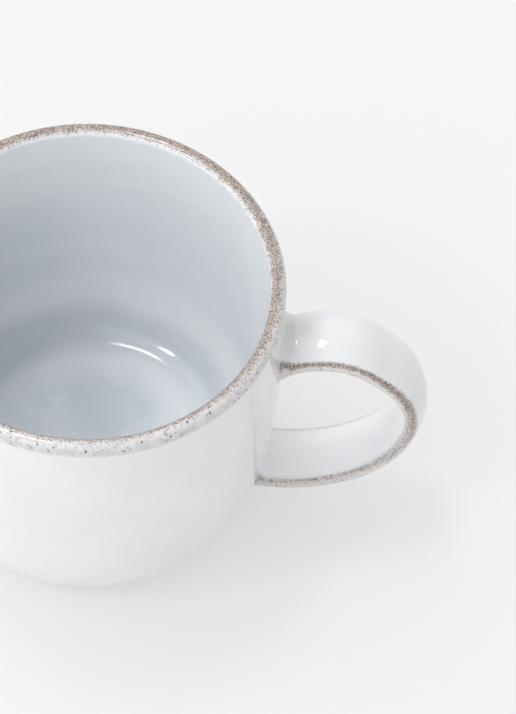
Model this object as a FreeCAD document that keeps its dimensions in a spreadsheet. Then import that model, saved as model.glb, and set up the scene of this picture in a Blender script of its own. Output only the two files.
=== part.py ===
"""Espresso cup: one fired stoneware piece, a bellied cup with a strap handle.

Millimetres, +Z up. The origin is on the cup's axis at the plane it stands on,
and the handle points along +X.
"""
import FreeCAD, Part
import math
import os
import Sketcher

# Driving sizes, in millimetres and degrees
SIZES = {
    # Body, outside
    "cup_height": 57.0,
    "rim_radius": 32.5,
    "belly_height": 37.7,
    "belly_bend": 162.0,
    "heel_height": 17.6,
    # Foot ring
    "foot_height": 1.5,
    "foot_inset": 1.5,
    "foot_width": 3.6,
    "foot_bevel": 0.5,
    "recess_depth": 2.0,
    # Body, inside
    "wall_thickness": 2.6,
    "floor_thickness": 4.0,
    "corner_bend": 6.0,
    "lip_land": 0.2,
    # Handle path, to the middle of the strap
    "root_depth": 6.0,
    "crown_reach": 7.8,
    "crown_drop": 12.2,
    "crown_bend": 10.8,
    "shoulder_slope": 42.3,
    "handle_reach": 22.2,
    "grip_bend": 15.0,
    "tuck_angle": 12.5,
    "tail_height": 8.5,
    # Strap section: each face's rise is from the line between its edges
    "strap_width": 11.6,
    "outer_rise": 2.5,
    "inner_rise": 1.7,
    "strap_edge": 1.2,
    "root_blend": 2.0,
}

# How far a cutting profile runs past the rim
CUT_MARGIN = 2.0
# How near a point must lie to a surface to count as on it
ON_SURFACE = 1e-3
# Shares of an edge's length where it is tried against a surface
TRIED_SHARES = (0.1, 0.3, 0.5, 0.7, 0.9)
FULL_TURN, QUARTER_TURN = 360.0, 90.0
CUBIC_MM_PER_ML = 1000

# Ends of a sketch edge, and its centre, as constraints number them
START, END, CENTRE = 1, 2, 3
# The sketch's origin and its two axes, as constraints number them
ORIGIN = (-1, 1)
ACROSS, UP = -1, -2

doc = FreeCAD.newDocument("espresso_cup")


def fill_sheet():
    """Write each driving size into the sheet, with its name as the cell's alias."""
    table = doc.addObject("Spreadsheet::Sheet", "Sizes")
    for row, (name, value) in enumerate(SIZES.items(), start=1):
        table.set("A%d" % row, name)
        table.set("B%d" % row, str(value))
        table.setAlias("B%d" % row, name)
    doc.recompute()
    return table


sheet = fill_sheet()


def worth(expression):
    """Work out an expression of the sheet's names as a plain number."""
    return float(sheet.evalExpression(expression))


def sketch_on_plane(body, role, name):
    """Start a sketch on one of the body's own origin planes."""
    plane = [item for item in body.Origin.OriginFeatures if item.Role == role][0]
    sketch = body.newObject("Sketcher::SketchObject", name)
    sketch.AttachmentSupport = [(plane, "")]
    sketch.MapMode = "FlatFace"
    return sketch


def add_line(sketch, start, end):
    """Add a straight edge and return its number."""
    points = [FreeCAD.Vector(p[0], p[1], 0) for p in (start, end)]
    return sketch.addGeometry(Part.LineSegment(*points), False)


def add_arc(sketch, centre, radius, from_angle, to_angle):
    """Add an arc that runs anticlockwise between two angles, in radians."""
    circle = Part.Circle(FreeCAD.Vector(centre[0], centre[1], 0), FreeCAD.Vector(0, 0, 1), radius)
    return sketch.addGeometry(Part.ArcOfCircle(circle, from_angle, to_angle), False)


def around(centre, radius, angle):
    """The point of a circle at an angle, in radians."""
    return (centre[0] + radius * math.cos(angle), centre[1] + radius * math.sin(angle))


def tie(sketch, kind, *where):
    """Add a constraint without a value."""
    sketch.addConstraint(Sketcher.Constraint(kind, *where))


def bind(sketch, name, expression, kind, *where):
    """Add a dimension whose value follows the sheet."""
    index = sketch.addConstraint(Sketcher.Constraint(kind, *where, worth(expression)))
    sketch.renameConstraint(index, name)
    sketch.setExpression("Constraints." + name, expression)


def bind_angle(sketch, name, expression, edge):
    """Add the angle of a straight edge, given in degrees, that follows the sheet."""
    index = sketch.addConstraint(Sketcher.Constraint("Angle", edge, math.radians(worth(expression))))
    sketch.renameConstraint(index, name)
    sketch.setExpression("Constraints." + name, "(%s) * 1 deg" % expression)


def knee_turn():
    """How far the belly's arc turns before the heel takes over, in radians."""
    return math.asin(worth("(belly_height - heel_height) / belly_bend"))


def belly_centre():
    """Centre of the belly's arcs, as radius and height."""
    return (worth("rim_radius - belly_bend"), worth("belly_height"))


def heel_level():
    """Height of the heel's centre, which lies on the cup's axis: the heel is part of a ball."""
    centre = belly_centre()
    return centre[1] + centre[0] * math.tan(knee_turn())


def heel_radius(inset=0):
    """Radius of the heel's ball, set in from the outside."""
    return worth("belly_bend") + belly_centre()[0] / math.cos(knee_turn()) - inset


def belly_and_heel(sketch, inset_words, end_angle):
    """Draw the wall's two tangent arcs, set in from the outside by a length of the sheet.

    The upper arc leaves the straight wall at belly_height. The lower one
    carries on from heel_height, down to end_angle below its centre's level.
    """
    turn = knee_turn()
    belly_words = "Sizes.belly_bend - " + inset_words
    belly = add_arc(sketch, belly_centre(), worth(belly_words), -turn, 0)
    heel = add_arc(sketch, (0, heel_level()), heel_radius(worth(inset_words)), -end_angle, -turn)
    tie(sketch, "Tangent", heel, END, belly, START)
    tie(sketch, "PointOnObject", heel, CENTRE, UP)
    bind(sketch, "belly_radius", belly_words, "Radius", belly)
    knee_height = ("Sizes.belly_height - (%s) * (Sizes.belly_height - Sizes.heel_height)"
                   " / Sizes.belly_bend" % belly_words)
    bind(sketch, "knee_height", knee_height, "DistanceY", *ORIGIN, belly, START)
    return belly, heel


def draw_outside(body):
    """Half section of the solid form: wall, belly, heel, foot ring and recess."""
    sketch = sketch_on_plane(body, "YZ_Plane", "outside_profile")
    rim, height = worth("rim_radius"), worth("cup_height")
    step, recess = worth("foot_height"), worth("recess_depth")
    foot_angle = math.asin((heel_level() - step) / heel_radius())
    heel_end = around((0, heel_level()), heel_radius(), -foot_angle)
    ring_outer = heel_end[0] - worth("foot_inset")
    ring_inner = ring_outer - worth("foot_width")
    corners = [(0, recess), (ring_inner, recess), (ring_inner, 0), (ring_outer, 0),
               (ring_outer, step), heel_end]
    roof, ring_in, ring_base, ring_out, shelf = [
        add_line(sketch, corners[k], corners[k + 1]) for k in range(len(corners) - 1)]
    belly, heel = belly_and_heel(sketch, "0", foot_angle)
    wall = add_line(sketch, (rim, worth("belly_height")), (rim, height))
    top = add_line(sketch, (rim, height), (0, height))
    axis = add_line(sketch, (0, height), (0, recess))
    chain = [axis, roof, ring_in, ring_base, ring_out, shelf]
    for first, second in zip(chain, chain[1:]):
        tie(sketch, "Coincident", first, END, second, START)
    tie(sketch, "Coincident", shelf, END, heel, START)
    tie(sketch, "Tangent", belly, END, wall, START)
    tie(sketch, "Coincident", wall, END, top, START)
    tie(sketch, "Coincident", top, END, axis, START)
    for edge in (roof, ring_base, shelf, top):
        tie(sketch, "Horizontal", edge)
    for edge in (ring_in, ring_out, wall):
        tie(sketch, "Vertical", edge)
    tie(sketch, "PointOnObject", axis, START, UP)
    tie(sketch, "PointOnObject", axis, END, UP)
    tie(sketch, "PointOnObject", ring_base, START, ACROSS)
    bind(sketch, "cup_height", "Sizes.cup_height", "DistanceY", *ORIGIN, wall, END)
    bind(sketch, "rim_radius", "Sizes.rim_radius", "DistanceX", *ORIGIN, wall, END)
    bind(sketch, "belly_height", "Sizes.belly_height", "DistanceY", *ORIGIN, wall, START)
    bind(sketch, "foot_height", "Sizes.foot_height", "DistanceY", *ORIGIN, shelf, START)
    bind(sketch, "foot_inset", "Sizes.foot_inset", "DistanceX", shelf, START, shelf, END)
    bind(sketch, "foot_width", "Sizes.foot_width", "DistanceX", ring_base, START, ring_base, END)
    bind(sketch, "recess_depth", "Sizes.recess_depth", "DistanceY", *ORIGIN, roof, START)
    return sketch


def draw_inside(body):
    """Half section of the hollow: flat floor, tight corner, and the wall's own curves set in."""
    sketch = sketch_on_plane(body, "YZ_Plane", "inside_profile")
    wall_radius = worth("rim_radius - wall_thickness")
    floor = worth("recess_depth + floor_thickness")
    ceiling = worth("cup_height") + CUT_MARGIN
    corner = worth("corner_bend")
    reach = heel_radius(worth("wall_thickness")) - corner
    corner_angle = math.asin((heel_level() - floor - corner) / reach)
    corner_centre = around((0, heel_level()), reach, -corner_angle)
    bottom = add_line(sketch, (0, floor), (corner_centre[0], floor))
    bend = add_arc(sketch, corner_centre, corner, -math.pi / 2, -corner_angle)
    belly, heel = belly_and_heel(sketch, "Sizes.wall_thickness", corner_angle)
    wall = add_line(sketch, (wall_radius, worth("belly_height")), (wall_radius, ceiling))
    top = add_line(sketch, (wall_radius, ceiling), (0, ceiling))
    axis = add_line(sketch, (0, ceiling), (0, floor))
    tie(sketch, "Coincident", axis, END, bottom, START)
    tie(sketch, "Tangent", bottom, END, bend, START)
    tie(sketch, "Tangent", bend, END, heel, START)
    tie(sketch, "Tangent", belly, END, wall, START)
    tie(sketch, "Coincident", wall, END, top, START)
    tie(sketch, "Coincident", top, END, axis, START)
    for edge in (bottom, top):
        tie(sketch, "Horizontal", edge)
    tie(sketch, "Vertical", wall)
    tie(sketch, "PointOnObject", axis, START, UP)
    tie(sketch, "PointOnObject", axis, END, UP)
    bind(sketch, "corner_radius", "Sizes.corner_bend", "Radius", bend)
    bind(sketch, "floor_height", "Sizes.recess_depth + Sizes.floor_thickness",
         "DistanceY", *ORIGIN, bottom, START)
    bind(sketch, "inner_radius", "Sizes.rim_radius - Sizes.wall_thickness",
         "DistanceX", *ORIGIN, wall, END)
    bind(sketch, "belly_height", "Sizes.belly_height", "DistanceY", *ORIGIN, wall, START)
    bind(sketch, "ceiling_height", "Sizes.cup_height + %s" % CUT_MARGIN,
         "DistanceY", *ORIGIN, wall, END)
    return sketch


def draw_strap_path(body):
    """Middle line of the handle, from inside the upper wall to inside the heel.

    It rises inside the wall, turns over the crown, falls along the shoulder,
    turns round the grip and comes back under in one long bend.
    """
    sketch = sketch_on_plane(body, "XZ_Plane", "strap_path")
    crown_radius, grip_radius = worth("crown_bend"), worth("grip_bend")
    slope = math.radians(worth("shoulder_slope"))
    tuck = -math.radians(worth("tuck_angle"))
    lean = math.pi / 2 - slope
    crown_centre = (worth("rim_radius + crown_reach"), worth("cup_height - crown_drop - crown_bend"))
    crown_start = around(crown_centre, crown_radius, math.pi)
    crown_end = around(crown_centre, crown_radius, lean)
    root_start = (crown_start[0], crown_start[1] - worth("root_depth"))
    grip_x = worth("rim_radius + handle_reach - grip_bend")
    run = grip_x + grip_radius * math.cos(lean) - crown_end[0]
    grip_start = (crown_end[0] + run, crown_end[1] - run * math.tan(slope))
    grip_centre = (grip_x, grip_start[1] - grip_radius * math.sin(lean))
    grip_end = around(grip_centre, grip_radius, tuck)
    tail = (worth("rim_radius - root_depth"), worth("tail_height"))
    away = (tail[0] - grip_end[0], tail[1] - grip_end[1])
    pull = away[0] * math.cos(tuck) + away[1] * math.sin(tuck)
    tail_radius = -(away[0] ** 2 + away[1] ** 2) / (2 * pull)
    tail_centre = around(grip_end, tail_radius, math.pi + tuck)
    tail_angle = math.atan2(tail[1] - tail_centre[1], tail[0] - tail_centre[0])

    root = add_line(sketch, root_start, crown_start)
    crown = add_arc(sketch, crown_centre, crown_radius, lean, math.pi)
    shoulder = add_line(sketch, grip_start, crown_end)
    grip = add_arc(sketch, grip_centre, grip_radius, tuck, lean)
    under = add_arc(sketch, tail_centre, tail_radius, tail_angle, tuck)
    tie(sketch, "Tangent", root, END, crown, END)
    tie(sketch, "Tangent", crown, START, shoulder, END)
    tie(sketch, "Tangent", shoulder, START, grip, END)
    tie(sketch, "Tangent", grip, START, under, END)
    tie(sketch, "Vertical", root)
    bind_angle(sketch, "shoulder_angle", "180 - Sizes.shoulder_slope", shoulder)
    bind(sketch, "crown_radius", "Sizes.crown_bend", "Radius", crown)
    bind(sketch, "grip_radius", "Sizes.grip_bend", "Radius", grip)
    bind(sketch, "root_length", "Sizes.root_depth", "DistanceY", root, START, root, END)
    bind(sketch, "crown_across", "Sizes.rim_radius + Sizes.crown_reach",
         "DistanceX", *ORIGIN, crown, CENTRE)
    bind(sketch, "crown_height", "Sizes.cup_height - Sizes.crown_drop - Sizes.crown_bend",
         "DistanceY", *ORIGIN, crown, CENTRE)
    bind(sketch, "grip_across", "Sizes.rim_radius + Sizes.handle_reach - Sizes.grip_bend",
         "DistanceX", *ORIGIN, grip, CENTRE)
    bind(sketch, "tuck_drop", "Sizes.grip_bend * sin(Sizes.tuck_angle)",
         "DistanceY", grip, START, grip, CENTRE)
    bind(sketch, "tail_across", "Sizes.rim_radius - Sizes.root_depth",
         "DistanceX", *ORIGIN, under, START)
    bind(sketch, "tail_height", "Sizes.tail_height", "DistanceY", *ORIGIN, under, START)
    return sketch


def draw_strap_section(body, path):
    """Strap section across the path: two crowned faces with round edges between them.

    The path starts upright, so a quarter turn lays the strap's width along Y,
    with the outer face on the outside of the path's bends.
    """
    sketch = body.newObject("Sketcher::SketchObject", "strap_section")
    sketch.AttachmentSupport = [(path, "Edge1"), (path, "Vertex1")]
    sketch.MapMode = "NormalToEdge"
    turned = FreeCAD.Rotation(FreeCAD.Vector(0, 0, 1), -QUARTER_TURN)
    sketch.AttachmentOffset = FreeCAD.Placement(FreeCAD.Vector(), turned)
    edge = worth("strap_edge")
    side = worth("strap_width / 2 - strap_edge")
    face_words = ("((Sizes.strap_width / 2 - Sizes.strap_edge)^2 + {0}^2 - Sizes.strap_edge^2)"
                  " / (2 * ({0} - Sizes.strap_edge))")
    outer_words, inner_words = face_words.format("Sizes.outer_rise"), face_words.format("Sizes.inner_rise")
    outer, inner = worth(outer_words), worth(inner_words)
    outer_top, inner_top = worth("outer_rise"), worth("inner_rise")
    lean_out, lean_in = math.atan2(side, outer - outer_top), math.atan2(side, inner - inner_top)
    up = math.pi / 2
    upper = add_arc(sketch, (0, outer_top - outer), outer, up - lean_out, up + lean_out)
    far = add_arc(sketch, (-side, 0), edge, up + lean_out, 3 * up - lean_in)
    lower = add_arc(sketch, (0, inner - inner_top), inner, -up - lean_in, lean_in - up)
    near = add_arc(sketch, (side, 0), edge, lean_in - up, up - lean_out)
    ring = [upper, far, lower, near]
    for first, second in zip(ring, ring[1:] + ring[:1]):
        tie(sketch, "Tangent", first, END, second, START)
    for arc in (far, near):
        tie(sketch, "PointOnObject", arc, CENTRE, ACROSS)
    bind(sketch, "outer_radius", outer_words, "Radius", upper)
    bind(sketch, "inner_radius", inner_words, "Radius", lower)
    bind(sketch, "edge_radius", "Sizes.strap_edge", "Radius", far)
    tie(sketch, "Equal", far, near)
    bind(sketch, "near_edge", "Sizes.strap_width / 2 - Sizes.strap_edge",
         "DistanceX", *ORIGIN, near, CENTRE)
    bind(sketch, "far_edge", "Sizes.strap_width / 2 - Sizes.strap_edge",
         "DistanceX", far, CENTRE, *ORIGIN)
    return sketch


def spin(body, kind, name, sketch):
    """Turn a half section right round the cup's axis, to add or to cut."""
    feature = body.newObject(kind, name)
    feature.Profile = sketch
    feature.ReferenceAxis = (sketch, ["V_Axis"])
    feature.Angle = FULL_TURN
    doc.recompute()
    return feature


def sweep_strap(body, section, path):
    """Carry the strap section along the handle's path."""
    feature = body.newObject("PartDesign::AdditivePipe", "strap")
    feature.Profile = section
    feature.Spine = (path, ["Edge%d" % (k + 1) for k in range(len(path.Shape.Edges))])
    doc.recompute()
    return feature


def lies_on(edge, surface):
    """Whether an edge runs along a surface, tried at points along it."""
    first, last = edge.ParameterRange
    steps = [first + (last - first) * share for share in TRIED_SHARES]
    points = [Part.Vertex(edge.valueAt(step)) for step in steps]
    return all(surface.distToShape(point)[0] < ON_SURFACE for point in points)


def ease_edges(body, kind, name, base, chosen, size_words):
    """Fillet or chamfer the edges of a feature that a test picks out."""
    names = ["Edge%d" % (k + 1) for k, edge in enumerate(base.Shape.Edges) if chosen(edge)]
    feature = body.newObject("PartDesign::" + kind, name)
    feature.Base = (base, names)
    feature.setExpression("Radius" if kind == "Fillet" else "Size", size_words)
    doc.recompute()
    return feature


def edges_at(height):
    """A test for edges that lie level at a height."""
    def test(edge):
        box = edge.BoundBox
        return abs(box.ZMin - height) < ON_SURFACE and abs(box.ZMax - height) < ON_SURFACE
    return test


def build_cup():
    """Model the cup in the order that it takes its form."""
    body = doc.addObject("PartDesign::Body", "cup")
    body.Label = "cup"
    form = spin(body, "PartDesign::Revolution", "form", draw_outside(body))
    form_faces, form_edges = Part.Compound(form.Shape.Faces), Part.Compound(form.Shape.Edges)
    path = draw_strap_path(body)
    doc.recompute()
    section = draw_strap_section(body, path)
    doc.recompute()
    strap = sweep_strap(body, section, path)
    ease_edges(body, "Fillet", "root_blends", strap,
               lambda edge: lies_on(edge, form_faces) and not lies_on(edge, form_edges),
               "Sizes.root_blend")
    hollow = spin(body, "PartDesign::Groove", "hollow", draw_inside(body))
    lip = ease_edges(body, "Fillet", "lip", hollow, edges_at(worth("cup_height")),
                     "(Sizes.wall_thickness - Sizes.lip_land) / 2")
    return ease_edges(body, "Chamfer", "foot_ring", lip, edges_at(0.0), "Sizes.foot_bevel")


def check_objects():
    """Stop if anything in the document failed to build."""
    for item in doc.Objects:
        if "Invalid" in item.State or "Error" in item.State:
            raise RuntimeError("%s did not build: %s" % (item.Name, item.State))
    for item in doc.Objects:
        if item.TypeId == "PartDesign::Body":
            if item.Shape.isNull() or not item.Shape.isValid() or len(item.Shape.Solids) != 1:
                raise RuntimeError("%s is not one valid solid" % item.Label)


def write_parts():
    """Write each body's solid to a file of its own name."""
    os.makedirs("parts", exist_ok=True)
    for item in doc.Objects:
        if item.TypeId == "PartDesign::Body":
            item.Shape.exportStep("parts/%s.step" % item.Label)
            box = item.Shape.BoundBox
            print("%s: %.1f x %.1f x %.1f mm, %.2f ml of stoneware" % (
                item.Label, box.XLength, box.YLength, box.ZLength, item.Shape.Volume / CUBIC_MM_PER_ML))


build_cup()
doc.recompute()
check_objects()
write_parts()
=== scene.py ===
"""Espresso cup in glazed stoneware: the fired piece, its floor, light and camera.

Lengths are in metres, written in millimetres times MM, in the part's own frame:
+Z up, the origin on the cup's axis at the floor, and the handle along +X.
"""

import math

import bmesh
import bpy
import numpy as np
from mathutils import Matrix, Vector


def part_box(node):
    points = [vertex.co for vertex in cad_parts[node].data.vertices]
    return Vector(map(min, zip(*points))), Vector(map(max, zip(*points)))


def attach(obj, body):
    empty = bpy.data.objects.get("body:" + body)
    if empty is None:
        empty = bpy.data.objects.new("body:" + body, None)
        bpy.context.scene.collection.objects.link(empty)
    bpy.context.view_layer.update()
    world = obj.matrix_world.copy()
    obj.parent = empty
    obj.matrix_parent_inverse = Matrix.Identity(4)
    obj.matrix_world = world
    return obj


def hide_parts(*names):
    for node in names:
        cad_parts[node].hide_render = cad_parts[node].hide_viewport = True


MM = 0.001

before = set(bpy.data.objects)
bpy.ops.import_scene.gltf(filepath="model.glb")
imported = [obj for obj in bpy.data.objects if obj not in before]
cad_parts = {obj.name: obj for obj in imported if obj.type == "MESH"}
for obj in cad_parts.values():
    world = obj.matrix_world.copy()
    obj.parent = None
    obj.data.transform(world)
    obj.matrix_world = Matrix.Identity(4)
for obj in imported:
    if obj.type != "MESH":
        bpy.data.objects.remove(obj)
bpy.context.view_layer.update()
high_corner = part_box("cup")[1]

# Body, outside, and its foot ring
CUP_HEIGHT = high_corner.z
RIM_RADIUS = high_corner.y
BELLY_HEIGHT = 37.7 * MM
BELLY_BEND = 162.0 * MM
HEEL_HEIGHT = 17.6 * MM
FOOT_HEIGHT = 1.5 * MM
FOOT_INSET = 1.5 * MM
FOOT_WIDTH = 3.6 * MM
FOOT_ROUND = 0.5 * MM
RECESS_DEPTH = 2.0 * MM

# Body, inside
WALL = 2.6 * MM
FLOOR_LEVEL = 6.0 * MM
CORNER_BEND = 6.0 * MM
LIP_ROUND = 1.2 * MM

# Middle line of the handle
CROWN_BEND = 10.8 * MM
CROWN_CENTRE = (RIM_RADIUS + 7.8 * MM, CUP_HEIGHT - 12.2 * MM - CROWN_BEND)
SHOULDER_LEAN = math.radians(90 - 42.3)
GRIP_BEND = 15.0 * MM
GRIP_ACROSS = RIM_RADIUS + 22.2 * MM - GRIP_BEND
GRIP_TUCK = math.radians(12.5)
TAIL = (RIM_RADIUS - 6.0 * MM, 8.5 * MM)

# Strap section, and the blends where it meets the wall
STRAP_WIDTH = 11.6 * MM
OUTER_RISE = 2.5 * MM
INNER_RISE = 1.7 * MM
STRAP_EDGE = 1.2 * MM
ROOT_BLEND = 2.0 * MM

# How the two roots are joined: the share of the under bend that the lower one takes, how often
# the search for its contact is halved, and how its patch crowds towards the strap
LOWER_ROOT_SHARE = 0.45
HALVINGS = 40
PATCH_CROWDING = 1.4

# How finely the surfaces are divided
COLUMNS = 240
WALL_ROWS = 56
FACE_STEPS = 28
EDGE_STEPS = 14
STRAP_ROWS = 110
COLLAR_ROWS = 6
BLEND_ROWS = 8
PATCH_ROWS = 9
SEAM = 1e-6


def around(centre, radius, angle):
    """The point of a circle at an angle."""
    return (centre[0] + radius * math.cos(angle), centre[1] + radius * math.sin(angle))


def arc(centre, radius, start, end, steps):
    """Points of an arc between two angles, both ends included."""
    return [around(centre, radius, angle) for angle in np.linspace(start, end, steps + 1)]


# The cup's wall: straight, then the belly's arc, then the heel, which is part of a ball
WALL_TOP = CUP_HEIGHT - LIP_ROUND
STRAIGHT = WALL_TOP - BELLY_HEIGHT
KNEE_TURN = math.asin((BELLY_HEIGHT - HEEL_HEIGHT) / BELLY_BEND)
BELLY_CENTRE = (RIM_RADIUS - BELLY_BEND, BELLY_HEIGHT)
BELLY_LENGTH = BELLY_BEND * KNEE_TURN
HEEL_CENTRE = (0.0, BELLY_HEIGHT + BELLY_CENTRE[0] * math.tan(KNEE_TURN))
HEEL_RADIUS = BELLY_BEND + BELLY_CENTRE[0] / math.cos(KNEE_TURN)
HEEL_TURN = math.asin((HEEL_CENTRE[1] - FOOT_HEIGHT) / HEEL_RADIUS)
WALL_LENGTH = STRAIGHT + BELLY_LENGTH + HEEL_RADIUS * (HEEL_TURN - KNEE_TURN)


def wall_at(depth):
    """Radius and height of the outer wall, a distance down it from the lip."""
    if depth <= STRAIGHT:
        return (RIM_RADIUS, WALL_TOP - depth)
    depth -= STRAIGHT
    if depth <= BELLY_LENGTH:
        return around(BELLY_CENTRE, BELLY_BEND, -depth / BELLY_BEND)
    depth -= BELLY_LENGTH
    return around(HEEL_CENTRE, HEEL_RADIUS, -KNEE_TURN - depth / HEEL_RADIUS)


def wall_near(radius, height):
    """How far a point stands off the outer wall, and how far down it the nearest point is."""
    if height >= BELLY_HEIGHT:
        return radius - RIM_RADIUS, WALL_TOP - height
    away = (radius - BELLY_CENTRE[0], BELLY_CENTRE[1] - height)
    turn = math.atan2(away[1], away[0])
    if turn <= KNEE_TURN:
        return math.hypot(*away) - BELLY_BEND, STRAIGHT + BELLY_BEND * turn
    away = (radius, HEEL_CENTRE[1] - height)
    turn = math.atan2(away[1], away[0]) - KNEE_TURN
    return math.hypot(*away) - HEEL_RADIUS, STRAIGHT + BELLY_LENGTH + HEEL_RADIUS * turn


def foot_section():
    """Underside, from the axis out to the heel: recess, ring and shelf, all softly rounded."""
    heel_end = wall_at(WALL_LENGTH)
    ring_outer = heel_end[0] - FOOT_INSET
    ring_inner = ring_outer - FOOT_WIDTH
    quarter = math.pi / 2
    points = [(share * ring_inner, RECESS_DEPTH) for share in (0.0, 0.25, 0.5, 0.75, 0.9)]
    points += arc((ring_inner - FOOT_ROUND, RECESS_DEPTH - FOOT_ROUND), FOOT_ROUND, quarter, 0, 4)
    points += arc((ring_inner + FOOT_ROUND, FOOT_ROUND), FOOT_ROUND, 2 * quarter, 3 * quarter, 6)
    points += arc((ring_outer - FOOT_ROUND, FOOT_ROUND), FOOT_ROUND, -quarter, 0, 6)
    points += arc((ring_outer + FOOT_ROUND, FOOT_HEIGHT - FOOT_ROUND), FOOT_ROUND, 2 * quarter, quarter, 4)
    return points


def lip_section():
    """Over the lip, from the outer wall to the inner one."""
    outer = (RIM_RADIUS - LIP_ROUND, WALL_TOP)
    inner = (RIM_RADIUS - WALL + LIP_ROUND, WALL_TOP)
    return arc(outer, LIP_ROUND, 0, math.pi / 2, 10) + arc(inner, LIP_ROUND, math.pi / 2, math.pi, 10)


def hollow_section():
    """Down the inner wall, round the corner and in across the floor to the axis."""
    wall = RIM_RADIUS - WALL
    points = [(wall, height) for height in np.linspace(WALL_TOP, BELLY_HEIGHT, 19)[1:]]
    points += arc(BELLY_CENTRE, BELLY_BEND - WALL, 0, -KNEE_TURN, 20)[1:]
    reach = HEEL_RADIUS - WALL - CORNER_BEND
    corner_turn = math.asin((HEEL_CENTRE[1] - FLOOR_LEVEL - CORNER_BEND) / reach)
    corner_centre = around(HEEL_CENTRE, reach, -corner_turn)
    points += arc(HEEL_CENTRE, HEEL_RADIUS - WALL, -KNEE_TURN, -corner_turn, 12)[1:]
    points += arc(corner_centre, CORNER_BEND, -corner_turn, -math.pi / 2, 14)[1:]
    points += [(share * corner_centre[0], FLOOR_LEVEL) for share in (0.85, 0.65, 0.45, 0.25, 0.1, 0.0)]
    return points


def cup_section():
    """The whole half section of the cup, and each point's distance from the lip's crest.

    The distance is positive outside the cup and negative inside it.
    """
    outside = [wall_at(depth) for depth in np.linspace(WALL_LENGTH, 0, WALL_ROWS + 1)]
    start = foot_section() + outside
    lip = lip_section()[1:]
    points = np.array(start + lip + hollow_section())
    steps = np.hypot(*np.diff(points, axis=0).T)
    run = np.r_[0, np.cumsum(steps)]
    crest = run[len(start) + len(lip) // 2]
    return points, crest - run


# The handle's middle line: crown, shoulder, grip, and the long bend under
CROWN_END = around(CROWN_CENTRE, CROWN_BEND, SHOULDER_LEAN)
SHOULDER_RUN = (GRIP_ACROSS + GRIP_BEND * math.cos(SHOULDER_LEAN) - CROWN_END[0]) / math.sin(SHOULDER_LEAN)
SHOULDER_END = (CROWN_END[0] + SHOULDER_RUN * math.sin(SHOULDER_LEAN),
                CROWN_END[1] - SHOULDER_RUN * math.cos(SHOULDER_LEAN))
GRIP_CENTRE = (GRIP_ACROSS, SHOULDER_END[1] - GRIP_BEND * math.sin(SHOULDER_LEAN))
GRIP_END = around(GRIP_CENTRE, GRIP_BEND, -GRIP_TUCK)


def under_bend():
    """Centre, radius and end angle of the arc from the grip's end to the tail inside the heel."""
    away = (TAIL[0] - GRIP_END[0], TAIL[1] - GRIP_END[1])
    pull = away[0] * math.cos(GRIP_TUCK) - away[1] * math.sin(GRIP_TUCK)
    radius = -(away[0] ** 2 + away[1] ** 2) / (2 * pull)
    centre = around(GRIP_END, radius, math.pi - GRIP_TUCK)
    return centre, radius, math.atan2(TAIL[1] - centre[1], TAIL[0] - centre[0])


UNDER_CENTRE, UNDER_BEND, UNDER_END = under_bend()
CROWN_LENGTH = CROWN_BEND * (math.pi - SHOULDER_LEAN)
GRIP_LENGTH = GRIP_BEND * (SHOULDER_LEAN + GRIP_TUCK)
GRIP_FINISH = CROWN_LENGTH + SHOULDER_RUN + GRIP_LENGTH
STRAP_LENGTH = GRIP_FINISH - UNDER_BEND * (GRIP_TUCK + UNDER_END)


def strap_at(distance):
    """The strap's middle, as x and z, and the angle that its outer face looks to."""
    if distance <= CROWN_LENGTH:
        angle = math.pi - distance / CROWN_BEND
        return around(CROWN_CENTRE, CROWN_BEND, angle), angle
    distance -= CROWN_LENGTH
    if distance <= SHOULDER_RUN:
        return around(CROWN_END, distance, SHOULDER_LEAN - math.pi / 2), SHOULDER_LEAN
    distance -= SHOULDER_RUN
    if distance <= GRIP_LENGTH:
        angle = SHOULDER_LEAN - distance / GRIP_BEND
        return around(GRIP_CENTRE, GRIP_BEND, angle), angle
    angle = -GRIP_TUCK - (distance - GRIP_LENGTH) / UNDER_BEND
    return around(UNDER_CENTRE, UNDER_BEND, angle), angle


def strap_section():
    """The strap's section: crowned faces and round edges, as points, outward directions and girth.

    Points run from the outer face's far side to its near side, round the near
    edge, back along the inner face and round the far edge. Girth is the
    distance round the section from the nearer edge's outermost line, positive
    towards the outer face.
    """
    side, up = STRAP_WIDTH / 2 - STRAP_EDGE, math.pi / 2
    outer, inner = [(side ** 2 + rise ** 2 - STRAP_EDGE ** 2) / (2 * (rise - STRAP_EDGE))
                    for rise in (OUTER_RISE, INNER_RISE)]
    lean_out, lean_in = math.atan2(side, outer - OUTER_RISE), math.atan2(side, inner - INNER_RISE)
    points, facing, girth = [], [], []

    def add_run(centre, radius, start, end, steps, girth_at):
        for angle in np.linspace(start, end, steps + 1)[:-1]:
            points.append(around(centre, radius, angle))
            facing.append((math.cos(angle), math.sin(angle)))
            girth.append(girth_at(angle))

    def edge_girth(angle):
        return STRAP_EDGE * math.asin(math.sin(angle))

    def outer_girth(angle):
        return STRAP_EDGE * (up - lean_out) + outer * (lean_out - abs(angle - up))

    def inner_girth(angle):
        return -STRAP_EDGE * (up - lean_in) - inner * (lean_in - abs(angle + up))

    add_run((0, OUTER_RISE - outer), outer, up + lean_out, up - lean_out, FACE_STEPS, outer_girth)
    add_run((side, 0), STRAP_EDGE, up - lean_out, lean_in - up, EDGE_STEPS, edge_girth)
    add_run((0, inner - INNER_RISE), inner, lean_in - up, -lean_in - up, FACE_STEPS, inner_girth)
    add_run((-side, 0), STRAP_EDGE, -lean_in - up, lean_out - 3 * up, EDGE_STEPS, edge_girth)
    return np.array(points), np.array(facing), np.array(girth)


SECTION, FACING, GIRTH = strap_section()


def strap_point(distance, column, lift=0.0):
    """A point of the strap's surface, or one lifted off it along its own direction."""
    (across, rise) = SECTION[column] + lift * FACING[column]
    (x, z), angle = strap_at(distance)
    return np.array((x + rise * math.cos(angle), across, z + rise * math.sin(angle)))


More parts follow.
